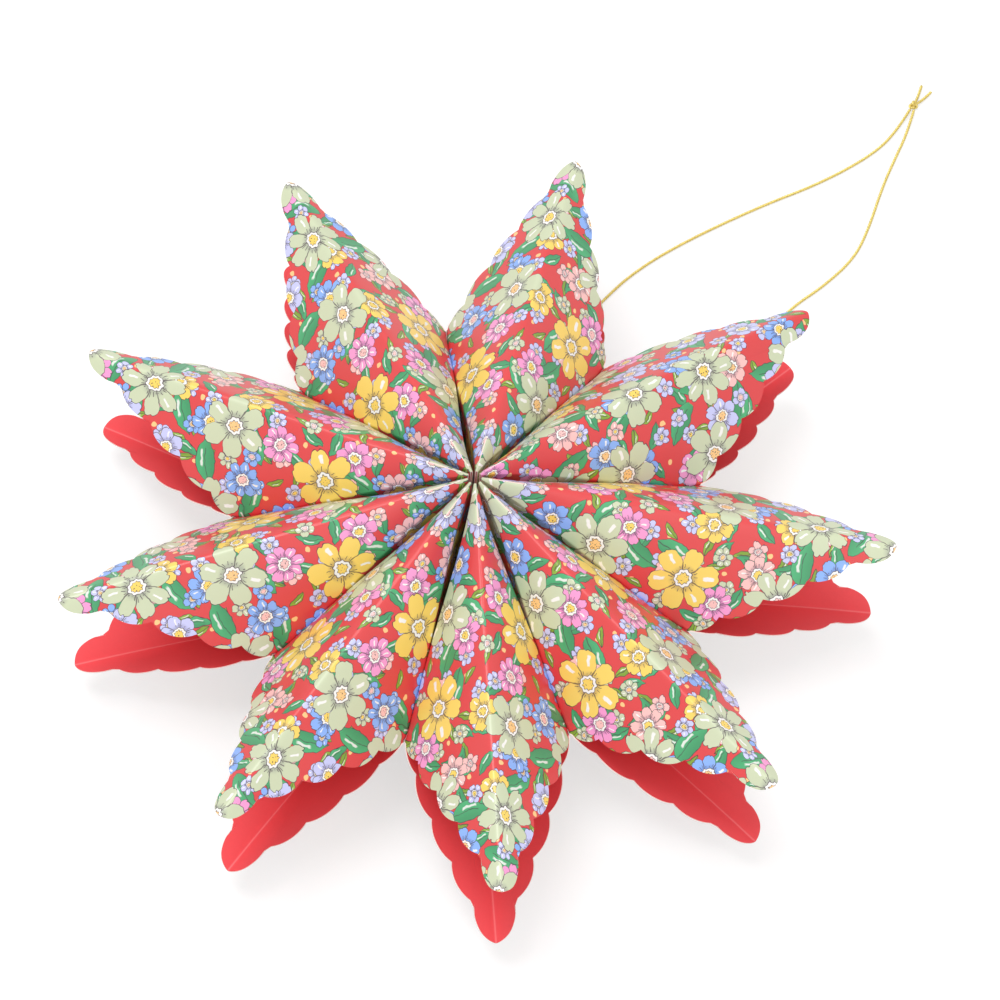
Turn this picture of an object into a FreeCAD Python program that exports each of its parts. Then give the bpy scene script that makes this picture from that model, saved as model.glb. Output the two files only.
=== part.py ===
import FreeCAD, Part
import math
import os
import Sketcher
from FreeCAD import Placement, Rotation, Vector

# A paper star of nine folded modules, glued side by side round one axis, with a hanging cord.
#
# Frame: the origin is the star's centre, on its axis and half way between front and back.
# +Z runs along the axis to the front face.
# Each module is a flat tube folded from one sheet. It is modelled along its own +X, from the hub
# to its two long points, and then turned about Z into its place.
#
# A tube has four walls. Each wall runs from a crease, in the module's middle plane, to the valley
# where the module is glued to its neighbour. Near the hub the walls stand upright, pressed against
# the neighbour's. Along a slanting line from the hub's end to the mouth's notch they bend away and
# run flat to the crease. All these flats and bends meet in the crease's end at the hub, as paper
# has to, because it bends but doesn't stretch.

doc = FreeCAD.newDocument("folded_paper_star")

SIZES = [
    # The whole star
    ("point_count", 9),
    ("first_point_angle", 114.4),
    ("hub_reach", 2.4),
    ("notch_reach", 76.5),
    ("tip_reach", 145.0),
    # The folded sheet
    ("face_half_width", 42.5),
    ("ridge_fall", 7.5),
    ("paper_thickness", 0.35),
    ("glue_line", 0.06),
    ("crease_radius", 0.6),
    ("front_bend_radius", 5.0),
    ("back_bend_radius", 9.0),
    # The die-cut mouth
    ("tip_lobe_length", 15.0),
    ("tip_lobe_half_width", 8.1),
    ("scallop_pitch", 16.9),
    ("scallop_bulge", 2.8),
    # The hanging cord, and the hole punched for it beside one notch
    ("cord_diameter", 1.1),
    ("punched_hole", 2.6),
    ("hole_inset", 7.0),
    # The knot in the doubled cord
    ("knot_wrap_radius", 1.9),
]

# The first module and the second of the pair whose shared valley the cord goes through
CORD_BETWEEN = (8, 9)
# How far blanks and cutters run past what they cut
CLEAR = 6.0
# The soft bend beside each valley is made of this many narrow flats
BEND_FLATS = 3

# The cord's route, from the knot along the table and up over the edge of one mouth, through the
# two punched holes, and over the edge of the next mouth and back along the table to the knot.
# The table's top touches the hub's back end.
CORD_ROUTE = [
    (169.7, 204.6, -40.1), (163.2, 193.6, -41.2), (152.3, 183.3, -41.2), (133.7, 171.9, -41.2),
    (112.6, 162.4, -41.2), (90.0, 150.4, -41.2), (73.0, 140.0, -41.2), (61.5, 131.0, -41.2),
    (54.4, 123.7, -41.2), (48.4, 116.7, -41.2), (46.4, 117.0, -29.5), (45.1, 116.8, -17.5),
    (43.0, 112.4, -8.8), (42.1, 100.9, -8.2), (41.0, 89.3, -8.4), (40.5, 75.9, -7.7),
    (39.6, 62.6, 0.0), (46.5, 57.7, 0.0), (58.8, 62.8, -7.7), (71.3, 67.6, -8.4),
    (82.0, 72.4, -8.2), (92.5, 76.9, -8.8), (96.0, 80.3, -17.5), (95.8, 81.6, -29.5),
    (94.9, 83.4, -41.2), (100.2, 91.7, -41.2), (108.8, 104.8, -41.2), (121.5, 118.5, -41.2),
    (133.0, 127.0, -41.2), (145.2, 139.3, -41.2), (151.3, 152.5, -41.2), (157.4, 170.6, -41.2),
    (163.2, 183.9, -41.2), (168.0, 194.3, -41.2), (171.1, 204.1, -40.1),
]
# The middle of the knot, the bearing of the two strands that enter it, and its two short tails
KNOT_CENTRE = (171.0, 206.2, -39.9)
KNOT_BEARING = 62.0
TAIL_ROUTES = [
    [(171.6, 207.2, -40.1), (173.2, 210.6, -41.1), (174.9, 216.0, -41.2)],
    [(172.0, 206.9, -40.1), (175.0, 209.3, -41.1), (178.3, 213.2, -41.2)],
]

sheet = doc.addObject("Spreadsheet::Sheet", "sizes")
for row, (alias, value) in enumerate(SIZES, start=1):
    sheet.set("A%d" % row, alias)
    sheet.set("B%d" % row, str(value))
    sheet.setAlias("B%d" % row, alias)
doc.recompute()


def size(alias):
    """One driving dimension, as a plain number."""
    return float(sheet.get(alias))


def half_pitch():
    """Half the angle between two neighbouring points."""
    return math.pi / size("point_count")


def ridge_height(reach):
    """Height of a crease's outer edge, if it were sharp, at a distance from the axis."""
    return size("face_half_width") - reach * math.tan(math.radians(size("ridge_fall")))


def lean():
    """Angle from upright of the flat of a wall, from its crease down to the notch."""
    notch = size("notch_reach")
    return math.atan2(notch * math.tan(half_pitch()), ridge_height(notch))


def wall_section(reach, bend_radius, inset):
    """Corners of one side of a wall, cut square across the module, from below the valley up.

    The inset is 0 on the printed side, and the paper's thickness on the inside.
    """
    share = reach / size("notch_reach")
    valley = reach * math.tan(half_pitch()) - size("glue_line") / 2 - inset / math.cos(half_pitch())
    ridge = ridge_height(reach) - inset / math.sin(lean())
    corner = ridge - valley / math.tan(lean())
    radius = (bend_radius - inset) * share
    bend_centre = (valley - radius, corner - radius * math.tan(lean() / 2))
    crease = size("crease_radius") - inset
    crease_centre = ridge - crease / math.sin(lean())
    corners = [(valley, -size("face_half_width") * share - CLEAR)]
    for step in range(BEND_FLATS + 1):
        turned = lean() * step / BEND_FLATS
        corners.append((bend_centre[0] + radius * math.cos(turned),
                        bend_centre[1] + radius * math.sin(turned)))
    corners.append((crease * math.cos(lean()), crease_centre + crease * math.sin(lean())))
    corners.append((0.0, crease_centre + crease))
    return [Vector(reach, across, up) for across, up in corners]


def flat(*corners):
    """A flat face between corners."""
    return Part.Face(Part.makePolygon(list(corners) + [corners[0]]))


def wall_blank(bend_radius):
    """One wall as a folded sheet, before its mouth is cut and before it ends at the valley."""
    reaches = (size("hub_reach"), size("tip_reach") + CLEAR)
    outside = [wall_section(reach, bend_radius, 0) for reach in reaches]
    inside = [wall_section(reach, bend_radius, size("paper_thickness")) for reach in reaches]
    faces = [flat(*(outer + inner[::-1])) for outer, inner in zip(outside, inside)]
    for near, far in (outside, inside):
        for number in range(len(near) - 1):
            faces.append(flat(near[number], near[number + 1], far[number + 1], far[number]))
    for number in (0, -1):
        faces.append(flat(outside[0][number], inside[0][number],
                          inside[1][number], outside[1][number]))
    shell = Part.Shell(faces)
    shell.sewShape(1e-5)
    solid = Part.Solid(shell)
    if solid.Volume < 0:
        solid.reverse()
    return solid


def mouth_corners():
    """Corners between the scallops of a mouth, as reach and distance from the crease.

    They lie evenly on one line, from the tip lobe back towards the notch, and the scallop that is
    left over beside the notch is the short one.
    """
    notch, wide = size("notch_reach"), ridge_height(size("notch_reach")) / math.cos(lean())
    start, narrow = size("tip_reach") - size("tip_lobe_length"), size("tip_lobe_half_width")
    length = math.hypot(start - notch, wide - narrow)
    count = int(length / size("scallop_pitch"))
    corners = [(notch, wide)]
    for number in range(count, -1, -1):
        share = number * size("scallop_pitch") / length
        corners.append((start + share * (notch - start), narrow + share * (wide - narrow)))
    return corners


def mouth_sketch(name, facing):
    """What the die cuts away from one wall, drawn in a plane half way between upright and level."""

    def seen(reach, from_crease):
        across = from_crease * math.sin(lean())
        up = ridge_height(reach) - from_crease * math.cos(lean())
        return Vector(reach, (up - across) / math.sqrt(2), 0)

    corners = mouth_corners()
    shapes = []
    for (reach_start, wide_start), (reach_end, wide_end) in zip(corners, corners[1:]):
        run, rise = reach_end - reach_start, wide_end - wide_start
        bulge = size("scallop_bulge") / size("scallop_pitch")
        middle = seen(reach_start + run / 2 - bulge * rise, wide_start + rise / 2 + bulge * run)
        shapes.append(Part.Arc(seen(reach_start, wide_start), middle, seen(reach_end, wide_end)))
    tip, length = size("tip_reach"), size("tip_lobe_length")
    wide = size("tip_lobe_half_width")
    shoulder = seen(tip - 0.30 * length, 0.80 * wide)
    shapes.append(Part.Arc(seen(*corners[-1]), seen(tip - 0.68 * length, 1.02 * wide), shoulder))
    shapes.append(Part.Arc(shoulder, seen(tip - 0.06 * length, 0.36 * wide), seen(tip, 0)))
    notch_point, point = seen(*corners[0]), seen(tip, 0)
    end = tip + 2 * CLEAR
    far_wide = ridge_height(end) / math.cos(lean())
    loop = [point, point + Vector(0, CLEAR, 0), Vector(end, point.y + CLEAR, 0),
            seen(end, far_wide), notch_point]
    for first, second in zip(loop, loop[1:]):
        shapes.append(Part.LineSegment(first, second))
    sketch = doc.addObject("Sketcher::SketchObject", name)
    sketch.Placement = Placement(Vector(0, 0, 0), Rotation(Vector(1, 0, 0), facing))
    sketch.addGeometry(shapes, False)
    for number in range(len(shapes)):
        following = (number + 1) % len(shapes)
        sketch.addConstraint(Sketcher.Constraint("Coincident", number, 2, following, 1))
    return sketch


def cut_wall(side, facing, bend_alias):
    """One wall with its part of the mouth cut out, on the module's left, from valley to crease."""
    blank = doc.addObject("Part::Feature", side + "_blank")
    blank.Shape = wall_blank(size(bend_alias))
    if side == "back":
        blank.Shape = blank.Shape.mirror(Vector(0, 0, 0), Vector(0, 0, 1))
    die = doc.addObject("Part::Extrusion", side + "_die")
    die.Base = mouth_sketch(side + "_mouth", facing)
    die.DirMode = "Normal"
    die.Solid = True
    die.Symmetric = True
    die.setExpression("LengthFwd", "4 * sizes.face_half_width")
    beyond = doc.addObject("Part::Box", side + "_beyond_valley")
    for length, formula in (("Length", "2 * sizes.tip_reach"), ("Width", "2 * sizes.tip_reach"),
                            ("Height", "4 * sizes.face_half_width")):
        beyond.setExpression(length, formula)
    beyond.setExpression("Placement.Base.y", "-sizes.tip_reach")
    if side == "front":
        beyond.setExpression("Placement.Base.z", "-4 * sizes.face_half_width")
    waste = doc.addObject("Part::MultiFuse", side + "_waste")
    waste.Shapes = [die, beyond]
    wall = doc.addObject("Part::Cut", side + "_wall")
    wall.Base = blank
    wall.Tool = waste
    return wall


def folded_module():
    """The whole folded sheet: two walls and their mirror images, joined at creases and valleys."""
    walls = [cut_wall("front", 135, "front_bend_radius"), cut_wall("back", 225, "back_bend_radius")]
    halves = list(walls)
    for wall in walls:
        half = doc.addObject("Part::Mirroring", wall.Name + "_mirrored")
        half.Source = wall
        half.Normal = Vector(0, 1, 0)
        halves.append(half)
    folded = doc.addObject("Part::MultiFuse", "folded_module")
    folded.Shapes = halves
    folded.Refine = True
    doc.recompute()
    return folded


def punched_hole(body, side):
    """The round hole for the cord, punched through the wall on one side, in the valley."""
    sketch = body.newObject("Sketcher::SketchObject", body.Name + "_punch")
    plane = next(item for item in body.Origin.OriginFeatures if item.Role == "XZ_Plane")
    sketch.AttachmentSupport = [(plane, "")]
    sketch.MapMode = "FlatFace"
    turn = math.degrees(half_pitch()) * side
    sketch.AttachmentOffset = Placement(Vector(0, 0, 0), Rotation(Vector(0, 1, 0), turn))
    along = (size("notch_reach") - size("hole_inset")) / math.cos(half_pitch())
    radius = size("punched_hole") / 2
    sketch.addGeometry(Part.Circle(Vector(along, 0, 0), Vector(0, 0, 1), radius), False)
    sketch.addConstraint(Sketcher.Constraint("PointOnObject", 0, 3, -1))
    sketch.addConstraint(Sketcher.Constraint("DistanceX", -1, 1, 0, 3, along))
    sketch.addConstraint(Sketcher.Constraint("Radius", 0, radius))
    sketch.setExpression("Constraints[1]", "(sizes.notch_reach - sizes.hole_inset)"
                         " / cos(180 deg / sizes.point_count)")
    sketch.setExpression("Constraints[2]", "sizes.punched_hole / 2")
    hole = body.newObject("PartDesign::Pocket", body.Name + "_cord_hole")
    hole.Profile = sketch
    hole.Type = "Length"
    hole.SideType = "Symmetric"
    hole.setExpression("Length", "8 * sizes.paper_thickness")
    body.Tip = hole


def star_point(number, folded):
    """One module, turned into its place round the axis."""
    body = doc.addObject("PartDesign::Body", "star_point_%d" % number)
    copy = body.newObject("PartDesign::FeatureBase", body.Name + "_sheet")
    copy.BaseFeature = folded
    body.Tip = copy
    body.Placement = Placement(Vector(0, 0, 0), Rotation(Vector(0, 0, 1), 1))
    body.setExpression("Placement.Rotation.Angle", "sizes.first_point_angle"
                       " + 360 / sizes.point_count * %d" % (number - 1))
    doc.recompute()
    if number in CORD_BETWEEN:
        punched_hole(body, 1 if number == CORD_BETWEEN[0] else -1)
    return body


def rounded_route(points, name):
    """Straight runs with tangent arcs at the turns, and a printed line of the arcs' radii."""
    corners = [Vector(*point) for point in points]
    edges, radii = [], []
    start = corners[0]
    for before, corner, after in zip(corners, corners[1:], corners[2:]):
        towards, onwards = (before - corner).normalize(), (after - corner).normalize()
        half_turn = (math.pi - towards.getAngle(onwards)) / 2
        reach = 0.45 * min((before - corner).Length, (after - corner).Length)
        radius = reach / math.tan(half_turn)
        radii.append(radius)
        first, last = corner + towards * reach, corner + onwards * reach
        centre = corner + (towards + onwards).normalize() * (radius / math.cos(half_turn))
        edges.append(("run", first - start, None, None))
        edges.append(("arc", centre, (first - centre).cross(last - centre), 2 * half_turn))
        start = last
    edges.append(("run", corners[-1] - start, None, None))
    print("%s: radii %s mm" % (name, " ".join("%.1f" % radius for radius in radii)))
    return edges


def cord_section(start, direction):
    """A six-sided section with the area of the round cord, square to its direction."""
    outer = size("cord_diameter") / 2 * math.sqrt(2 * math.pi / math.sqrt(27))
    across = direction.cross(Vector(0, 0, 1)).normalize()
    upwards = across.cross(direction).normalize()
    corners = []
    for number in range(6):
        angle = math.radians(60 * number)
        corners.append(start + (across * math.cos(angle) + upwards * math.sin(angle)) * outer)
    return Part.makePolygon(corners + corners[:1])


def cord_tube(points, name):
    """A cord along a route: its section is drawn along each run and turned through each arc."""
    middle = Vector(*points[0])
    ring = cord_section(middle, Vector(*points[1]) - middle)
    faces, length = [Part.Face(ring)], 0
    for kind, vector, axis, angle in rounded_route(points, name):
        if kind == "run":
            faces += ring.extrude(vector).Faces
            ring = ring.translated(vector)
            middle = middle + vector
            length += vector.Length
        else:
            turn = Rotation(axis, math.degrees(angle))
            faces += ring.revolve(vector, axis, math.degrees(angle)).Faces
            ring = ring.rotated(vector, axis, math.degrees(angle))
            length += angle * (middle - vector).Length
            middle = vector + turn.multVec(middle - vector)
    faces.append(Part.Face(ring))
    shell = Part.Shell(faces)
    shell.sewShape(1e-5)
    solid = Part.Solid(shell)
    if solid.Volume < 0:
        solid.reverse()
    tube = doc.addObject("Part::Feature", name)
    tube.Shape = solid
    print("%s: length %.1f mm, volume %.2f of %.2f mm3"
          % (name, length, solid.Volume, length * math.pi * (size("cord_diameter") / 2) ** 2))
    return tube


def tied_knot():
    """The knot in the doubled cord: a core, three crossing wraps and two tails."""
    core = doc.addObject("Part::Prism", "knot_core")
    core.Polygon = 8
    core.setExpression("Circumradius", "sizes.knot_wrap_radius - 0.6 * sizes.cord_diameter")
    core.setExpression("Height", "2 * sizes.knot_wrap_radius - 1.2 * sizes.cord_diameter")
    core.Placement.Base = Vector(*KNOT_CENTRE)
    core.setExpression("Placement.Base.z", "%.1f - sizes.knot_wrap_radius"
                       " + 0.6 * sizes.cord_diameter" % KNOT_CENTRE[2])
    pieces = [core]
    for number, (swing, rock) in enumerate(((0, 0), (62, 25), (-58, 20)), start=1):
        section = doc.addObject("Part::RegularPolygon", "knot_section_%d" % number)
        section.Polygon = 6
        section.setExpression("Circumradius", "sizes.cord_diameter / 2 * 1.0996")
        section.setExpression("Placement.Base.x", "sizes.knot_wrap_radius"
                              " - sizes.cord_diameter / 2")
        wrap = doc.addObject("Part::Revolution", "knot_wrap_%d" % number)
        wrap.Source = section
        wrap.Axis = Vector(0, 1, 0)
        wrap.Angle = 360
        wrap.Solid = True
        turn = Rotation(KNOT_BEARING + swing, 90, rock).multiply(Rotation(Vector(1, 0, 0), 90))
        wrap.Placement = Placement(Vector(*KNOT_CENTRE), turn)
        pieces.append(wrap)
    for number, points in enumerate(TAIL_ROUTES, start=1):
        pieces.append(cord_tube(points, "knot_tail_%d" % number))
    knot = doc.addObject("Part::MultiFuse", "cord_knot")
    knot.Shapes = pieces
    return knot


folded = folded_module()
nodes = [star_point(number, folded) for number in range(1, int(size("point_count")) + 1)]
nodes.append(cord_tube(CORD_ROUTE, "hanging_cord"))
nodes.append(tied_knot())
doc.recompute()


def check(objects):
    """Stop if any object failed, or if a piece isn't one sound solid."""
    for item in doc.Objects:
        if "Invalid" in item.State or "Error" in item.State:
            raise RuntimeError("%s did not build" % item.Label)
    for item in objects:
        if item.Shape.isNull() or not item.Shape.isValid() or len(item.Shape.Solids) != 1:
            raise RuntimeError("%s is not one sound solid" % item.Label)


check(nodes)
os.makedirs("parts", exist_ok=True)
for node in nodes:
    node.Shape.exportStep(os.path.join("parts", node.Label + ".step"))
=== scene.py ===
"""A folded paper star with scalloped points and a gold hanging cord, dressed for its picture.

Each of the star's points is one printed sheet. It starts as a flat die-cut sheet, and a
Geometry Nodes tree folds it along lines that all meet where its crease ends at the hub.
Lengths are in metres and angles in radians, in the star's own frame: the origin is its
centre, and +Z runs along its axis to the front.
"""

import logging
import math
from dataclasses import dataclass, field
from enum import Enum
from typing import Callable, Optional, Sequence, Union

import bpy
from bpy.types import Material, Mesh, Node, NodeSocket, NodeTree, Object
from mathutils import Euler, Matrix, Vector

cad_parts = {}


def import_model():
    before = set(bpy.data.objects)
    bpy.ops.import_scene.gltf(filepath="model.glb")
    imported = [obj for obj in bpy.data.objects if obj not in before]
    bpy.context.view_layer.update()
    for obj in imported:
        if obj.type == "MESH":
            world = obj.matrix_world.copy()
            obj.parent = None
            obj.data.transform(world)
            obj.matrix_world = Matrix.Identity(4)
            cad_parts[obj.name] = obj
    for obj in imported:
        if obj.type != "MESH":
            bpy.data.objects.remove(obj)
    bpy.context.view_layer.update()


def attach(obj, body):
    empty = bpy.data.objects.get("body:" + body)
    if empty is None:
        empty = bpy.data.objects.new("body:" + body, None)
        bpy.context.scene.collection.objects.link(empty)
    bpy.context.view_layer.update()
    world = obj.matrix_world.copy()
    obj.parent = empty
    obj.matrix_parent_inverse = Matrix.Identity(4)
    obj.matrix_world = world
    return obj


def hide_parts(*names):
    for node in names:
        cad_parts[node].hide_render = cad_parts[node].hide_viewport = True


LOG = logging.getLogger("paper_star")
MM = 0.001
UP = (0.0, 0.0, 1.0)
Colour = tuple[float, float, float]

# How far along a point from the hub each change of its shape starts and is complete.
MOUTH_OPENS = (72 * MM, 128 * MM)
TIP_OPENS = (112 * MM, 148 * MM)
WOBBLE_GROWS = (10 * MM, 60 * MM)
ARCH_GROWS = (8 * MM, 50 * MM)
PINCH_REACH = 60 * MM
CURL_START, CURL_RUN = 78 * MM, 68 * MM

# How far from the crease the wobble grows, at what angle before the bend it has faded, and
# how high above the middle the pinch grows.
WOBBLE_LEAVES_CREASE = (1 * MM, 12 * MM)
WOBBLE_FADES = (0.0, 0.12)
PINCH_HEIGHTS = (1 * MM, 14 * MM)
RIPPLES_PER_METRE = 24.0

# The printed edge's softness, in millimetres on either side.
SOFT_EDGE = (-0.05, 0.05)


def linear(red: float, green: float, blue: float) -> Colour:
    """Turn a colour on the 0 to 255 scale of pictures into the linear values of a shader.

    Args:
        red: The red part, from 0 to 255.
        green: The green part, from 0 to 255.
        blue: The blue part, from 0 to 255.

    Returns:
        The colour's three linear values, from 0 to 1.
    """
    parts = [part / 255 for part in (red, green, blue)]
    return tuple(p / 12.92 if p <= 0.04045 else ((p + 0.055) / 1.055) ** 2.4 for p in parts)


def joined_by(operation: str, swapped: bool = False) -> Callable[["Term", "Value"], "Term"]:
    """Make the method behind an operator.

    Args:
        operation: The math node's operation.
        swapped: Whether the other value comes first.

    Returns:
        A method that joins a term and another value with a math node.
    """
    def method(self: "Term", other: "Value") -> "Term":
        """Return the result, 1 or 0 for a comparison."""
        return self.graph.math(operation, *((other, self) if swapped else (self, other)))

    return method


class Term:
    """A node's output that can stand in sums, products and comparisons."""

    def __init__(self, graph: "Graph", socket: NodeSocket) -> None:
        """Hold an output.

        Args:
            graph: The tree that the output is in.
            socket: The output.
        """
        self.graph = graph
        self.socket = socket

    def __abs__(self) -> "Term":
        """Return this without its sign."""
        return self.graph.math("ABSOLUTE", self)

    __add__ = __radd__ = joined_by("ADD")
    __sub__, __rsub__ = joined_by("SUBTRACT"), joined_by("SUBTRACT", swapped=True)
    __mul__ = __rmul__ = joined_by("MULTIPLY")
    __truediv__, __pow__ = joined_by("DIVIDE"), joined_by("POWER")
    __gt__, __lt__ = joined_by("GREATER_THAN"), joined_by("LESS_THAN")


Value = Union[float, Sequence[float], NodeSocket, Term]
Inputs = dict[Union[int, str], Value]


class Graph:
    """A node tree that is written as formulas and nested calls."""

    def __init__(self, tree: NodeTree) -> None:
        """Start from an empty tree.

        Args:
            tree: The node tree to fill.
        """
        self.tree = tree
        self.tree.nodes.clear()

    def add(self, kind: str, inputs: Optional[Inputs] = None, **settings: object) -> Node:
        """Add a node.

        Args:
            kind: The node's type.
            inputs: What its inputs get, by name or number.
            settings: The node's own settings.

        Returns:
            The new node.
        """
        node = self.tree.nodes.new(kind)
        for name, value in settings.items():
            setattr(node, name, value)
        for name, value in (inputs or {}).items():
            self.feed(node.inputs[name], value)
        return node

    def out(self, kind: str, inputs: Optional[Inputs] = None, output: Union[int, str] = 0,
            **settings: object) -> Term:
        """Add a node as above, and return the output with that name or number."""
        return Term(self, self.add(kind, inputs, **settings).outputs[output])

    def feed(self, socket: NodeSocket, value: Value) -> None:
        """Give an input its value, or link it.

        Args:
            socket: The input.
            value: A plain value, or the output that feeds the input.
        """
        if isinstance(value, Term):
            value = value.socket
        if isinstance(value, NodeSocket):
            self.tree.links.new(value, socket)
        elif socket.type == "RGBA":
            socket.default_value = (*value[:3], 1.0)
        else:
            socket.default_value = value

    def math(self, operation: str, *values: Value) -> Term:
        """Work out a number from others, and return it."""
        return self.out("ShaderNodeMath", dict(enumerate(values)), operation=operation)

    def vector(self, operation: str, *values: Value) -> Term:
        """Work out a vector, or its length, from others.

        Args:
            operation: The vector math node's operation.
            values: What it works on.

        Returns:
            The result.
        """
        inputs = dict(zip((0, "Scale" if operation == "SCALE" else 1), values))
        output = "Value" if operation == "LENGTH" else "Vector"
        return self.out("ShaderNodeVectorMath", inputs, output, operation=operation)

    def parts(self, vector: Value) -> tuple[Term, Term, Term]:
        """Split a vector, and return its X, Y and Z."""
        node = self.add("ShaderNodeSeparateXYZ", {0: vector})
        return tuple(Term(self, output) for output in node.outputs)

    def join(self, x: Value, y: Value, z: Value) -> Term:
        """Make a vector of three numbers, and return it."""
        return self.out("ShaderNodeCombineXYZ", {0: x, 1: y, 2: z})

    def turn(self, vector: Value, axis: Value, angle: Value) -> Term:
        """Turn a vector about an axis through the origin, and return it."""
        return self.out("ShaderNodeVectorRotate",
                        {"Vector": vector, "Axis": axis, "Angle": angle},
                        rotation_type="AXIS_ANGLE")

    def ramp(self, value: Value, low: Value, high: Value) -> Term:
        """Rise softly from 0 at one value to 1 at another, and return that share."""
        return self.out("ShaderNodeMapRange", {0: value, 1: low, 2: high},
                        interpolation_type="SMOOTHSTEP")

    def blend(self, share: Value, first: Value, second: Value) -> Term:
        """Mix two colours by the second one's share, and return the mix."""
        return self.out("ShaderNodeMix", {0: share, 6: first, 7: second}, 2, data_type="RGBA")

    def layers(self, colour: Value, *over: tuple[Value, Value]) -> Term:
        """Lay colours over a first one.

        Args:
            colour: The first colour.
            over: Each further colour's share, and that colour.

        Returns:
            The mix.
        """
        for share, above in over:
            colour = self.blend(share, colour, above)
        return colour

    def palette(self, share: Value, colours: Sequence[Colour]) -> Term:
        """Pick one of several colours.

        Args:
            share: The number from 0 to 1 that picks.
            colours: The colours, each for an equal part of that range.

        Returns:
            The picked colour.
        """
        node = self.add("ShaderNodeValToRGB", {0: share})
        steps = node.color_ramp
        steps.interpolation = "CONSTANT"
        while len(steps.elements) < len(colours):
            steps.elements.new(0.5)
        for number, colour in enumerate(colours):
            steps.elements[number].position = number / len(colours)
            steps.elements[number].color = (*colour, 1.0)
        return Term(self, node.outputs[0])

    def noise(self, place: Value, scale: float, detail: float = 2.0,
              output: str = "Fac") -> Term:
        """Lay smooth noise over places, and return its strength or its colour."""
        return self.out("ShaderNodeTexNoise",
                        {"Vector": place, "Scale": scale, "Detail": detail}, output)

    def surface(self, colour: Value, height: Value, relief: tuple[float, float],
                constants: dict[str, float]) -> None:
        """End a material with a surface that has a fine relief.

        Args:
            colour: The surface's colour.
            height: The relief's height, from 0 to 1.
            relief: How strongly the relief shows, from 0 to 1, and how deep it is.
            constants: The shader's other values, by name.
        """
        strength, depth = relief
        bump = self.out("ShaderNodeBump",
                        {"Strength": strength, "Distance": depth, "Height": height})
        shader = self.out("ShaderNodeBsdfPrincipled",
                          {"Base Color": colour, "Normal": bump, **constants})
        self.add("ShaderNodeOutputMaterial", {0: shader})


def new_object(name: str, data: bpy.types.ID) -> Object:
    """Put a new object into the scene.

    Args:
        name: The object's name.
        data: Its mesh, curve, light or camera.

    Returns:
        The object.
    """
    thing = bpy.data.objects.new(name, data)
    bpy.context.collection.objects.link(thing)
    return thing


def start_material(name: str) -> tuple[Material, Graph]:
    """Start a material.

    Args:
        name: The material's name.

    Returns:
        The material, and its tree to write.
    """
    material = bpy.data.materials.new(name)
    material.use_nodes = True
    return material, Graph(material.node_tree)


def darker(colour: Colour, share: float) -> Colour:
    """Return a colour times a share."""
    return tuple(part * share for part in colour)


class Side(Enum):
    """The two halves of a folded sheet."""

    FRONT = 0
    BACK = 1


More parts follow.
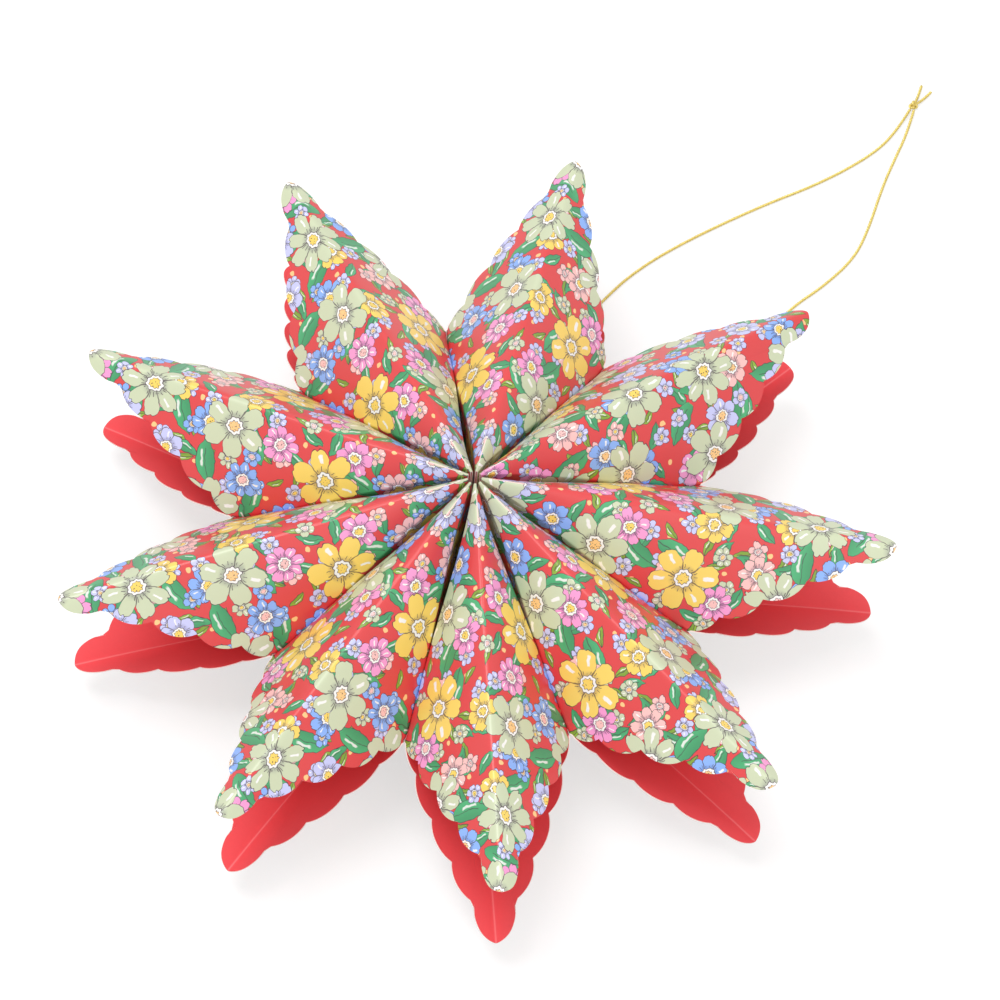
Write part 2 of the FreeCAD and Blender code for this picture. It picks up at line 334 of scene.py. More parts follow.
@dataclass(frozen=True)
class PaperSizes:
    """Sizes of the star, the same as the solid model's."""

    point_count: int = 9
    first_point_angle: float = math.radians(114.4)
    hub_reach: float = 2.5 * MM
    notch_reach: float = 76.5 * MM
    tip_reach: float = 145.0 * MM
    face_half_width: float = 42.5 * MM
    ridge_fall: float = math.radians(7.5)
    thickness: float = 0.35 * MM
    glue_line: float = 0.06 * MM
    front_bend_radius: float = 5.0 * MM
    back_bend_radius: float = 9.0 * MM
    tip_lobe_length: float = 15.0 * MM
    tip_lobe_half_width: float = 8.1 * MM
    scallop_pitch: float = 16.9 * MM
    scallop_bulge: float = 2.8 * MM

    @property
    def half_pitch(self) -> float:
        """Half the angle between two neighbouring points."""
        return math.pi / self.point_count

    def ridge_height(self, reach: float) -> float:
        """Height of a crease above the star's middle plane, at a distance from its axis."""
        return self.face_half_width - reach * math.tan(self.ridge_fall)

    @property
    def lean(self) -> float:
        """Angle from upright of the flat of a wall."""
        notch = self.notch_reach
        return math.atan2(notch * math.tan(self.half_pitch), self.ridge_height(notch))

    def on_sheet(self, reach: float, from_crease: float) -> tuple[float, float]:
        """Unfold a place on a wall's flat.

        Args:
            reach: The place's distance from the star's axis, along the point.
            from_crease: Its distance from the crease, in a cut square across the point.

        Returns:
            Its place on the flat sheet, along the crease from the hub and across it.
        """
        skew = math.cos(self.lean) * math.sin(self.ridge_fall)
        along = reach / math.cos(self.ridge_fall) + from_crease * skew
        return along, from_crease * math.sqrt(1 - skew ** 2)

    def from_diagonal(self, reach: float, level: float) -> tuple[float, float]:
        """Unfold a place that is given in the plane half way between upright and level.

        Args:
            reach: The place's distance from the star's axis, along the point.
            level: Its height in that plane.

        Returns:
            Its place on the flat sheet, along the crease from the hub and across it.
        """
        spread = math.cos(self.lean) + math.sin(self.lean)
        from_crease = (self.ridge_height(reach) - math.sqrt(2) * level) / spread
        return self.on_sheet(reach, from_crease)

    def diagonal(self, reach: float, from_crease: float) -> Vector:
        """A place on a wall's flat, in the plane half way between upright and level."""
        up = self.ridge_height(reach) - from_crease * math.cos(self.lean)
        return Vector((reach, (up - from_crease * math.sin(self.lean)) / math.sqrt(2)))

    def mouth(self, steps: int) -> list[tuple[float, float]]:
        """Draw one side of the die-cut mouth.

        Args:
            steps: How many straight steps make one scallop.

        Returns:
            Places on the flat sheet, from the notch round the scallops to the tip.
        """
        notch = self.notch_reach
        wide = self.ridge_height(notch) / math.cos(self.lean)
        start, narrow = self.tip_reach - self.tip_lobe_length, self.tip_lobe_half_width
        length = math.hypot(start - notch, wide - narrow)
        corners = [(notch, wide)]
        for number in range(int(length / self.scallop_pitch), -1, -1):
            share = number * self.scallop_pitch / length
            corners.append((start + share * (notch - start), narrow + share * (wide - narrow)))
        arcs = []
        for (near, near_wide), (far, far_wide) in zip(corners, corners[1:]):
            run, rise = far - near, far_wide - near_wide
            bulge = self.scallop_bulge / self.scallop_pitch
            middle = (near + run / 2 - bulge * rise, near_wide + rise / 2 + bulge * run)
            arcs.append(((near, near_wide), middle, (far, far_wide)))
        # The tip's own lobe is two arcs, placed by shares of its length and half width.
        tip, lobe = self.tip_reach, self.tip_lobe_length
        shoulder = (tip - 0.30 * lobe, 0.80 * narrow)
        arcs.append((corners[-1], (tip - 0.68 * lobe, 1.02 * narrow), shoulder))
        arcs.append((shoulder, (tip - 0.06 * lobe, 0.36 * narrow), (tip, 0.0)))
        places = []
        for arc in arcs:
            places += arc_places(*(self.diagonal(*corner) for corner in arc), steps)[:-1]
        outline = [self.from_diagonal(*place) for place in places]
        return outline + [self.on_sheet(tip, 0.0)]


def arc_places(first: Vector, middle: Vector, last: Vector, steps: int) -> list[Vector]:
    """Step along the arc through three places.

    Args:
        first: Where the arc starts.
        middle: A place on it.
        last: Where it ends.
        steps: How many steps there are.

    Returns:
        The places, both ends with them.
    """
    side, other = middle - first, last - first
    twice_area = 2 * (side.x * other.y - side.y * other.x)
    centre = first + Vector((
        (other.y * side.length_squared - side.y * other.length_squared) / twice_area,
        (side.x * other.length_squared - other.x * side.length_squared) / twice_area))
    start, end = first - centre, last - centre
    sweep = math.atan2(start.x * end.y - start.y * end.x, start.dot(end))
    places = []
    for step in range(steps + 1):
        turned = sweep * step / steps
        cosine, sine = math.cos(turned), math.sin(turned)
        places.append(centre + Vector((start.x * cosine - start.y * sine,
                                       start.x * sine + start.y * cosine)))
    return places


@dataclass(frozen=True)
class FoldLines:
    """The axes and angles by which a flat wall turns into a folded one."""

    crease: Vector
    flat_axis: Vector
    bend_axis: Vector
    valley_axis: Vector
    bend_start: float
    bend_turn: float
    bend_sine: float

    @classmethod
    def of(cls, sizes: PaperSizes, bend_radius: float) -> "FoldLines":
        """Find the fold lines of one half of a sheet.

        Args:
            sizes: The star's sizes.
            bend_radius: The radius of the soft bend at the notch.

        Returns:
            The fold lines, seen from where they all meet.
        """
        lean, notch = sizes.lean, sizes.notch_reach
        crease = Vector((math.cos(sizes.ridge_fall), 0, -math.sin(sizes.ridge_fall)))
        down = Vector((0, math.sin(lean), -math.cos(lean)))
        to_notch = Vector((notch, notch * math.tan(sizes.half_pitch), -sizes.face_half_width))
        line = to_notch.normalized()
        flat_axis = crease.cross(down).normalized()
        valley_axis = line.cross(Vector((0, 0, -1))).normalized()
        turned = math.acos(max(-1, min(1, flat_axis.dot(valley_axis))))
        # The bend is a cone that touches both flats, evenly on either side of the notch's line.
        run = bend_radius * math.tan(lean / 2) * line.cross(down).length / to_notch.length
        sine = math.sin(run / math.tan(turned / 2))
        share = sine / (1 + math.cos(turned))
        rest = math.sqrt(1 - 2 * share ** 2 * (1 + math.cos(turned)))
        left = flat_axis.cross(line).cross(valley_axis.cross(line)).dot(line) > 0
        sign = 1 if left else -1
        bend_axis = (flat_axis + valley_axis) * share + line * rest * sign
        first = (bend_axis - flat_axis * sine).normalized() * sign
        last = (bend_axis - valley_axis * sine).normalized() * sign
        start = math.acos(crease.dot(first))
        level_first = first - bend_axis * first.dot(bend_axis)
        level_last = last - bend_axis * last.dot(bend_axis)
        turn = level_first.angle(level_last)
        return cls(crease, flat_axis, bend_axis, valley_axis, start, turn,
                   level_first.length)


@dataclass
class FlatSheet:
    """The printed sheet as it leaves the die, both halves laid on each other."""

    sizes: PaperSizes
    print_shift: tuple[float, float]
    scallop_steps: int = 11
    columns: int = 22
    print_span: float = 170 * MM
    seam_shares: tuple[float, ...] = (0.0, 0.06, 0.14, 0.24, 0.36, 0.5, 0.64, 0.78, 0.9, 0.97)
    near_notch_shares: tuple[float, ...] = (0.978, 0.984, 0.989, 0.993, 0.9965)
    beside_crease: tuple[float, ...] = (math.radians(0.12), math.radians(0.3))

    def rays(self) -> list[tuple[float, float, float]]:
        """Lay out one side's straight lines from where all folds meet.

        Returns:
            For each line its angle, its near end's distance and its far end's distance.
        """
        edge = self.sizes.mouth(self.scallop_steps)
        seam_along, seam_across = edge[0]
        hub = self.sizes.hub_reach
        first = hub * 1.1  # where the first line meets the seam
        ends = [(first + (seam_along - first) * share, seam_across)
                for share in self.seam_shares]
        ends += [(seam_along * share, seam_across) for share in self.near_notch_shares]
        ends += edge
        lines = []
        for along, across in ends:
            angle = math.atan2(across, along)
            lines.append((angle, hub / math.cos(angle), math.hypot(along, across)))
        # Two more lines beside the crease, so that it can be rounded.
        tip_reach = lines[-1][2]
        lines += [(angle, hub / math.cos(angle), tip_reach * (1 - 0.6 * angle ** 2))
                  for angle in self.beside_crease if angle < lines[-2][0]]
        return sorted(lines)

    def build(self) -> Mesh:
        """Make the flat sheet's mesh, with its print map and its marks for the fold.

        Returns:
            A mesh whose X runs along the crease from the hub, and whose Y runs across it.
        """
        lines = self.rays()
        both = [(-angle, near, far) for angle, near, far in reversed(lines[1:])] + lines
        points, faces, backs, seams, across = [], [], [], [], []
        seam_across = self.sizes.mouth(1)[0][1]
        for side in Side:
            offset = len(points)
            for angle, near, far in both:
                for column in range(self.columns + 1):
                    reach = near + (far - near) * column / self.columns
                    place = Vector((reach * math.cos(angle), reach * math.sin(angle), 0))
                    points.append(place)
                    backs.append(float(side.value))
                    seams.append(float(abs(place.y) > seam_across - 1e-7))
                    across.append(abs(place.y) / MM)
            for row in range(len(both) - 1):
                for column in range(self.columns):
                    corner = offset + row * (self.columns + 1) + column
                    face = (corner, corner + 1, corner + self.columns + 2,
                            corner + self.columns + 1)
                    faces.append(face if side is Side.FRONT else face[::-1])
        mesh = bpy.data.meshes.new("die_cut_sheet")
        mesh.from_pydata(points, [], faces)
        for name, values in (("back_half", backs), ("glued_seam", seams),
                             ("mm_from_crease", across)):
            layer = mesh.attributes.new(name, "FLOAT", "POINT")
            layer.data.foreach_set("value", values)
        print_map = mesh.uv_layers.new(name="print_map")
        for loop in mesh.loops:
            place = points[loop.vertex_index]
            u = (place.x + self.print_shift[0]) / self.print_span
            v = (place.y + seam_across) / self.print_span
            half = 0.5 * backs[loop.vertex_index]
            print_map.data[loop.index].uv = (u, v + half + self.print_shift[1])
        return mesh


@dataclass
class FoldedPoint:
    """One point of the star: a sheet folded into a flat tube with two long scalloped tips.

    Where a size is a pair, its first value is for the front half and its second for the back.
    """

    number: int
    sizes: PaperSizes
    finishes: list[Material]
    punched: int = 0
    crease_softness: tuple[float, float] = (1.0 * MM, 0.4 * MM)
    mouth_flare: tuple[float, float] = (math.radians(3), math.radians(9))
    tip_flare: tuple[float, float] = (math.radians(0), math.radians(6))
    bulge: float = 1.4 * MM
    curl_out: tuple[float, float] = (0.0, 4.5 * MM)
    draw_in: tuple[float, float] = (0.0, 3.5 * MM)
    hub_pinch: float = 0.45
    wobble: float = 0.35 * MM
    hole_radius: float = 1.3 * MM
    hole_from_notch: float = 7 * MM
    sharp_angle: float = math.radians(48)
    unevenness: tuple[float, float, float] = (0.0, 0.0, 0.0)
    print_shift: tuple[float, float] = (0.0, 0.0)

    @property
    def tip_angle(self) -> float:
        """The direction of the point, from +X towards +Y."""
        return self.sizes.first_point_angle + 2 * self.sizes.half_pitch * (self.number - 1)

    def fold(self, graph: Graph, given: dict[str, Term]) -> Term:
        """Write the tree that folds a flat sheet, shared by all points.

        Args:
            graph: The tree.
            given: The tree's inputs.

        Returns:
            The folded sheet.
        """
        shape = given["shape"]
        for side in Side:
            shape = self.fold_half(graph, given, shape, side)
        return graph.out("GeometryNodeMergeByDistance",
                         {"Geometry": shape, "Distance": 0.01 * MM})

    def fold_half(self, graph: Graph, given: dict[str, Term], shape: Term,
                  side: Side) -> Term:
        """Add the nodes that fold one half of the sheet.

        Args:
            graph: The tree.
            given: The tree's inputs.
            shape: The sheet so far.
            side: Which half is folded.

        Returns:
            The sheet with that half folded.
        """
        own = {name.partition("_")[2]: term for name, term in given.items()
               if name.startswith(side.name.lower())}
        back, seam = (graph.out("GeometryNodeInputNamedAttribute", {"Name": name},
                                data_type="FLOAT") for name in ("back_half", "glued_seam"))
        along, across, _ = graph.parts(graph.out("GeometryNodeInputPosition"))
        aside, sign = abs(across), graph.math("SIGN", across)
        reach = graph.vector("LENGTH", graph.join(along, across, 0.0))
        angle = graph.math("ARCTAN2", aside, along)
        # Roll the wall round its fold lines, which all meet at the hub, so nothing stretches.
        start, sine = own["bend_start"], own["bend_sine"]
        span = own["bend_turn"] * sine
        on_flat = graph.math("MINIMUM", angle, start)
        past = graph.math("MAXIMUM", angle - start, 0.0)
        bent = graph.math("MINIMUM", past, span) / sine
        beyond = graph.math("MAXIMUM", past - span, 0.0)
        heading = graph.turn(own["crease"], own["flat_axis"], on_flat)
        heading = graph.turn(heading, own["bend_axis"], bent)
        heading = graph.turn(heading, own["valley_axis"], beyond)
        flare = (own["mouth_flare"] * graph.ramp(along, *MOUTH_OPENS)
                 + own["tip_flare"] * graph.ramp(along, *TIP_OPENS))
        place = graph.turn(graph.vector("SCALE", heading, reach), own["crease"], flare)
        x, y, z = graph.parts(place)
        y = y - graph.math("MINIMUM", y, given["glue_line"])
        # Round the crease a little, then give the wall its ripples and its arch.
        softness = own["crease_softness"]
        rounded = graph.math("SQRT", y * y + softness * softness)
        drop = (rounded - y) / graph.math("TANGENT", given["lean"])
        z = z + given["face_half_width"] - drop
        seed = graph.join(given["wobble_seed"], sign * 0.3, float(side.value))
        ripple = graph.noise(graph.vector("ADD", graph.join(x, y, 0.0), seed),
                             RIPPLES_PER_METRE, 1.0)
        calm = graph.ramp(aside, *WOBBLE_LEAVES_CREASE)
        calm = calm * graph.ramp(start - angle, *WOBBLE_FADES) * graph.ramp(along, *WOBBLE_GROWS)
        swell = (ripple - 0.5) * calm * (given["wobble"] * 2.0)
        down = on_flat / start
        arch = down * (1.0 - down) * (given["bulge"] * 4.0)
        swell = swell + arch * graph.ramp(along, *ARCH_GROWS)
        y = y + swell * graph.math("COSINE", given["lean"])
        z = z + swell * graph.math("SINE", given["lean"])
        # Press the tube narrow near the hub, and curl what stands free past the glue.
        near_hub = 1.0 - graph.math("MINIMUM", along / PINCH_REACH, 1.0)
        pinch = near_hub * near_hub * (given["hub_pinch"] * graph.ramp(z, *PINCH_HEIGHTS))
        y = y * (1.0 - pinch)
        far = graph.math("MAXIMUM", along - CURL_START, 0.0) / CURL_RUN
        far = far * far
        x = x - far * own["draw_in"]
        z = z + far * own["curl_out"]
        # The seam stays on the plane that two neighbours share.
        glued_x = along * graph.math("COSINE", given["half_pitch"])
        glued_y = along * graph.math("SINE", given["half_pitch"]) - given["glue_line"]
        x, y, z = (graph.out("ShaderNodeMix", {0: seam, 2: free, 3: glued}, data_type="FLOAT")
                   for free, glued in ((x, glued_x), (y, glued_y), (z, 0.0)))
        facing = 1.0 if side is Side.FRONT else -1.0
        whole = graph.join(x, y * sign, z * facing)
        # Neighbours that are turned unevenly still meet half way, at the seam.
        share = graph.math("ARCTAN2", y, x) / given["half_pitch"]
        lag = (sign > 0.0) * given["turn_to_left"] + (sign < 0.0) * given["turn_to_right"]
        lag = lag * graph.math("MINIMUM", share, 1.0)
        placed = graph.turn(whole, UP, given["tip_angle"] + lag)
        chosen = graph.math("COMPARE", back, float(side.value), 0.1)
        return graph.out("GeometryNodeSetPosition",
                         {"Geometry": shape, "Selection": chosen, "Position": placed})

    def build(self) -> Object:
        """Fold, thicken and punch the sheet.

        Returns:
            The finished point.
        """
        sizes = self.sizes
        blank = new_object("blank", FlatSheet(sizes, self.print_shift).build())
        ahead, own, behind = self.unevenness
        values = {"tip_angle": self.tip_angle + own, "turn_to_left": (ahead - own) / 2,
                  "turn_to_right": (behind - own) / 2, "half_pitch": sizes.half_pitch,
                  "hub_pinch": self.hub_pinch, "bulge": self.bulge, "lean": sizes.lean,
                  "face_half_width": sizes.face_half_width, "wobble": self.wobble,
                  "glue_line": sizes.glue_line / 2, "wobble_seed": 1.7 * self.number,
                  "finish": self.finishes[0]}
        for side, radius in ((Side.FRONT, sizes.front_bend_radius),
                             (Side.BACK, sizes.back_bend_radius)):
            shaping = {name: getattr(self, name)[side.value] for name in (
                "crease_softness", "mouth_flare", "tip_flare", "curl_out", "draw_in")}
            for name, value in {**vars(FoldLines.of(sizes, radius)), **shaping}.items():
                values[f"{side.name.lower()}_{name}"] = value
        run_tree(blank, "fold_a_star_point", self.fold, values)
        shell = baked(blank, "folded_sheet")
        shell.data.materials.clear()
        for finish in self.finishes:
            shell.data.materials.append(finish)
        wall = shell.modifiers.new("paper", "SOLIDIFY")
        wall.thickness = sizes.thickness
        wall.offset = -1
        wall.material_offset = 1
        wall.material_offset_rim = 2
        cutter = self.punch(shell) if self.punched else None
        point = baked(shell, f"folded_point_{self.number}")
        point.data.set_sharp_from_angle(angle=self.sharp_angle)
        for extra in filter(None, (blank, shell, cutter)):
            bpy.data.objects.remove(extra)
        return point

    def punch(self, shell: Object) -> Object:
        """Punch the round hole for the cord through one glued wall.

        Args:
            shell: The folded sheet, which gets the cutting modifier.

        Returns:
            The punch, to be removed when the cut is made.
        """
        sizes = self.sizes
        valley = self.tip_angle + self.punched * sizes.half_pitch
        outwards = Vector((math.cos(valley), math.sin(valley), 0))
        across = Vector((-math.sin(valley), math.cos(valley), 0))
        centre = outwards * (sizes.notch_reach - self.hole_from_notch) / math.cos(
            sizes.half_pitch)
        rim, half = 24, 3 * MM  # corners of the punch, and half its length
        points = []
        for end in (-half, half):
            for step in range(rim):
                angle = 2 * math.pi * step / rim
                points.append(centre + across * end + (
                    outwards * math.cos(angle) + Vector((0, 0, math.sin(angle)))
                    ) * self.hole_radius)
        faces = [tuple(range(rim)), tuple(range(2 * rim - 1, rim - 1, -1))]
        for step in range(rim):
            after = (step + 1) % rim
            faces.append((after, step, rim + step, rim + after))
        mesh = bpy.data.meshes.new("punch")
        mesh.from_pydata(points, [], faces)
        for finish in self.finishes:
            mesh.materials.append(finish)
        mesh.polygons.foreach_set("material_index", [2] * len(mesh.polygons))
        cutter = new_object("punch", mesh)
        cut = shell.modifiers.new("punched_hole", "BOOLEAN")
        cut.operation = "DIFFERENCE"
        cut.solver = "EXACT"
        cut.object = cutter
        return cutter


def run_tree(thing: Object, name: str,
             write: Callable[[Graph, dict[str, Term]], Value],
             values: dict[str, Union[float, Vector, Material]]) -> None:
    """Give an object a Geometry Nodes tree, which is written at its first use.

    Args:
        thing: The object.
        name: The tree's name.
        write: Writes the tree's own nodes, and returns the shape that they make.
        values: The tree's inputs by name, with the shape's material as "finish".
    """
    tree = bpy.data.node_groups.get(name)
    if tree is None:
        tree = bpy.data.node_groups.new(name, "GeometryNodeTree")
        for way in ("OUTPUT", "INPUT"):
            tree.interface.new_socket("shape", in_out=way, socket_type="NodeSocketGeometry")
        for title, value in values.items():
            kind = {float: "Float", Vector: "Vector"}.get(type(value), "Material")
            tree.interface.new_socket(title, in_out="INPUT", socket_type=f"NodeSocket{kind}")
        graph = Graph(tree)
        inputs = graph.add("NodeGroupInput").outputs
        given = {socket.name: Term(graph, socket) for socket in inputs if socket.name}
        smooth = graph.out("GeometryNodeSetShadeSmooth", {0: write(graph, given)})
        real = graph.out("GeometryNodeRealizeInstances", {0: smooth})
        dressed = graph.out("GeometryNodeSetMaterial",
                            {"Geometry": real, "Material": given["finish"]})
        graph.add("NodeGroupOutput", {0: dressed})
    modifier = thing.modifiers.new(name, "NODES")
    modifier.node_group = tree
    for item in tree.interface.items_tree:
        if item.in_out == "INPUT" and item.name in values:
            modifier[item.identifier] = values[item.name]


def baked(thing: Object, name: str) -> Object:
    """Turn an object with its modifiers into a plain mesh object.

    Args:
        thing: The object.
        name: The new object's name.

    Returns:
        The new object.
    """
    bpy.context.view_layer.update()
    result = thing.evaluated_get(bpy.context.evaluated_depsgraph_get())
    mesh = bpy.data.meshes.new_from_object(result, preserve_all_data_layers=True,
                                           depsgraph=bpy.context.evaluated_depsgraph_get())
    mesh.name = name
    return new_object(name, mesh)


@dataclass(frozen=True)
class Flower:
    """One kind of printed motif, strewn over the sheet.

    Attributes:
        cell: How far apart the motifs are.
        stray: How far each may stray from its place, from 0 to 1.
        radius: The motif's outer radius.
        petals: The number of petals, and of those of every other motif.
        notch: How deep the gaps between petals are, from 0 to 1.
        colours: Petal colours, one of which each motif gets.
        shown: The share of places that get a motif.
        slant: The turn of the whole layer, in degrees.
        centre: The share of the radius that the middle takes.
    """

    cell: float
    stray: float
    radius: float
    petals: tuple[int, int]
    notch: float
    colours: tuple[Colour, ...]
    shown: float
    slant: float
    centre: float = 0.3


SAGE = linear(208, 216, 182)
LEAF_GREEN = linear(72, 168, 112)
OLIVE = linear(140, 176, 56)
YELLOW = linear(252, 216, 104)
PINK = linear(250, 160, 212)
BLUSH = linear(252, 198, 194)
BLUE = linear(142, 182, 250)
LAVENDER = linear(206, 208, 250)
PEACH = linear(255, 206, 140)
INK = linear(66, 44, 62)
WHITE = linear(250, 248, 244)
DEEP = (INK[0] * 0.55, INK[1] * 0.55, 0.12)  # the shade in a flower's middle


@dataclass(frozen=True)
class Leaf:
    """One kind of printed leaf, strewn over the sheet.

    Attributes:
        cell: How far apart the leaves are.
        half_length: Half a leaf's length.
        half_width: Half its width.
        colour: The leaves' colour.
        slant: The turn of the whole layer, in degrees.
        shown: The share of places that get a leaf.
    """

    cell: float
    half_length: float
    half_width: float
    colour: Colour
    slant: float
    shown: float


@dataclass(frozen=True)
class PrintedPaper:
    """Coated paper with a strewn print of small flowers on coral red, in millimetres."""

    name: str
    ground: Colour = linear(228, 70, 72)
    span: float = 170.0
    berry_cell: float = 6.5
    berry_stray: float = 0.6
    berry_slant: float = 25
    berry_shown: float = 0.4
    greens: tuple[Leaf, ...] = (
        Leaf(9.5, 3.4, 1.2, OLIVE, 55, 0.55), Leaf(13.0, 5.2, 1.9, LEAF_GREEN, 8, 0.7),
        Leaf(19.0, 8.6, 3.5, LEAF_GREEN, 64, 0.95),
    )
    blossoms: tuple[Flower, ...] = (
        Flower(11.5, 0.40, 3.4, (5, 6), 0.35, (LAVENDER, BLUSH, SAGE, BLUE, LAVENDER),
               0.85, 71),
        Flower(20.0, 0.34, 6.6, (8, 6), 0.30, (BLUE, YELLOW, PINK, BLUE, BLUSH, LAVENDER),
               0.93, 38, 0.34),
        Flower(33.0, 0.28, 11.8, (8, 6), 0.45, (SAGE, SAGE, YELLOW, SAGE, SAGE),
               0.92, 12, 0.25),
    )

    def spots(self, graph: Graph, place: Term, cell: float, stray: float,
              slant: float) -> tuple[Term, Term, Term, Term, Term]:
        """Strew places for motifs.

        Args:
            graph: The material's tree.
            place: Where on the sheet a point is, in millimetres.
            cell: How far apart the places are.
            stray: How far each may stray.
            slant: The turn of the layer, in degrees.

        Returns:
            The point's X and Y from the nearest place, and three random numbers of that place.
        """
        scaled = graph.vector("SCALE", graph.turn(place, UP, math.radians(slant)), 1 / cell)
        cells = graph.add("ShaderNodeTexVoronoi",
                          {"Vector": scaled, "Scale": 1.0, "Randomness": stray},
                          voronoi_dimensions="2D").outputs
        offset = graph.vector("SUBTRACT", scaled, cells["Position"])
        x, y, _ = graph.parts(graph.vector("SCALE", offset, cell))
        return x, y, *graph.parts(cells["Color"])

    def leaves(self, graph: Graph, place: Term, below: Term, kind: Leaf) -> Term:
        """Lay leaves of one kind over a colour.

        Args:
            graph: The material's tree.
            place: Where on the sheet a point is, in millimetres.
            below: The colour under the leaves.
            kind: The leaves' kind.

        Returns:
            The colour with leaves.
        """
        width = kind.half_width
        x, y, heading, chance, _ = self.spots(graph, place, kind.cell, 0.45, kind.slant)
        x, y, _ = graph.parts(graph.turn(graph.join(x, y, 0.0), UP, heading * (2 * math.pi)))
        share = x / kind.half_length
        y = y - share * share * (-0.16 * kind.half_length)
        edge = (1.0 - share * share) * width - abs(y)
        present = chance < kind.shown
        body = graph.ramp(edge, *SOFT_EDGE) * present
        ink = graph.ramp(edge, -0.26, -0.16) * present
        vein = graph.ramp(abs(y), 0.2, 0.1) * (share < 0.55)
        streak = graph.ramp(abs(y - 0.38 * width), 0.16 * width, 0.08 * width)
        streak = streak * graph.ramp(abs(share - 0.1), 0.4, 0.3)
        light = tuple(min(1.0, part * 1.15) for part in kind.colour)
        shade = graph.layers(darker(kind.colour, 0.8), (graph.ramp(y, -width, width), light),
                             (vein * 0.75, INK), (streak * 0.8, WHITE))
        return graph.layers(below, (ink, INK), (body, shade))

    def flowers(self, graph: Graph, place: Term, below: Term, kind: Flower) -> Term:
        """Lay flowers of one kind over a colour.

        Args:
            graph: The material's tree.
            place: Where on the sheet a point is, in millimetres.
            below: The colour under the flowers.
            kind: The flowers' kind.

        Returns:
            The colour with flowers.
        """
        x, y, pick, chance, twist = self.spots(graph, place, kind.cell, kind.stray, kind.slant)
        reach = graph.math("SQRT", x * x + y * y)
        few, others = kind.petals
        count = (twist > 0.5) * float(others - few) + float(few)
        bearing = graph.math("ARCTAN2", y, x) + twist * 12.0
        turns = bearing / (2 * math.pi) * count
        within = graph.math("FRACT", turns) - 0.5
        petal = graph.math("FLOOR", turns)
        aside = abs(within) * 2.0
        # A petal's outline falls from its middle to the gaps, with a small nick at the tip.
        uneven = graph.math("SINE", petal * 2.6) * 0.05
        size = 1.0 - aside ** 2.4 * kind.notch + uneven
        rim = (1.0 - graph.ramp(aside, 0.16, 0.0) * 0.05) * size * kind.radius
        edge = rim - reach
        present = chance < kind.shown
        line = 0.09 + 0.009 * kind.radius
        body = graph.ramp(edge, *SOFT_EDGE) * present
        ink = graph.ramp(edge, -line - 0.12, -line) * present
        part = graph.ramp((1.0 - aside) * reach / count * math.pi, line + 0.08, line - 0.06)
        inner = graph.ramp(reach / kind.radius, kind.centre * 1.05, kind.centre * 1.9)
        # Most petals carry a pale stroke, and short rays stand round the frilled heart.
        glint = (graph.ramp(abs(within + 0.1), 0.085, 0.05)
                 * graph.ramp(abs(reach / rim - 0.7), 0.17, 0.12))
        some = graph.math("SINE", petal * 4.1 + pick * 9.0) > 0.1
        heart = kind.radius * kind.centre
        frill = graph.math("SINE", bearing * 9.0) * (0.07 * heart)
        inside = frill + heart - reach
        eye = frill + heart * 0.62 - reach
        warm = graph.palette(twist, (YELLOW, BLUSH, YELLOW, PEACH))
        rays = abs(graph.math("FRACT", turns * 3.0) - 0.5) * (reach * 2.1 / count)
        ray_end = graph.math("SINE", bearing * 5.0) * (heart * 0.25) + heart * 1.62
        strokes = (graph.ramp(rays, line * 0.9, line * 0.4)
                   * ((reach > heart * 1.28) * (reach < ray_end)))
        dots = graph.ramp(graph.noise(place, 1.9, 0.0), 0.66, 0.7) * graph.ramp(eye, 0.0, 0.1)
        shade = graph.layers(
            graph.palette(pick, kind.colours), ((1.0 - inner) * 0.35, DEEP), (part * 0.8, INK),
            (glint * some, WHITE), (graph.ramp(inside, -line - 0.1, -line), INK),
            (graph.ramp(inside, *SOFT_EDGE), WHITE),
            (graph.ramp(eye, -line * 0.8 - 0.08, -line * 0.8), INK),
            (graph.ramp(eye, *SOFT_EDGE), warm), (strokes * 0.85, INK), (dots, INK))
        return graph.layers(below, (ink, INK), (body, shade))

    def build(self) -> Material:
        """Build the printed paper's material.

        Returns:
            The material.
        """
        material, graph = start_material(self.name)
        chart = graph.out("ShaderNodeUVMap", uv_map="print_map")
        place = graph.vector("SCALE", chart, self.span)
        # Motifs are bent a little by slow noise, so that no two are alike.
        wave = graph.noise(place, 0.35, 1.0, "Color")
        bent = graph.vector("SUBTRACT", wave, (0.5, 0.5, 0.5))
        place = graph.vector("ADD", place, graph.vector("SCALE", bent, 1.6))
        x, y, _ = graph.parts(place)
        place = graph.join(x, y, 0.0)
        colour = graph.blend(graph.noise(place, 0.05), self.ground, darker(self.ground, 0.93))
        x, y, _, chance, _ = self.spots(graph, place, self.berry_cell, self.berry_stray,
                                        self.berry_slant)
        berry = graph.ramp(graph.math("SQRT", x * x + y * y), 0.95, 0.85)
        colour = graph.blend(berry * (chance < self.berry_shown), colour, PEACH)
        for leaf in self.greens:
            colour = self.leaves(graph, place, colour, leaf)
        for flower in self.blossoms:
            colour = self.flowers(graph, place, colour, flower)
        graph.surface(colour, graph.noise(place, 0.6, 3.0), (0.12, 0.0002), {
            "Roughness": 0.36, "Specular IOR Level": 0.5, "Coat Weight": 0.22,
            "Coat Roughness": 0.3})
        return material


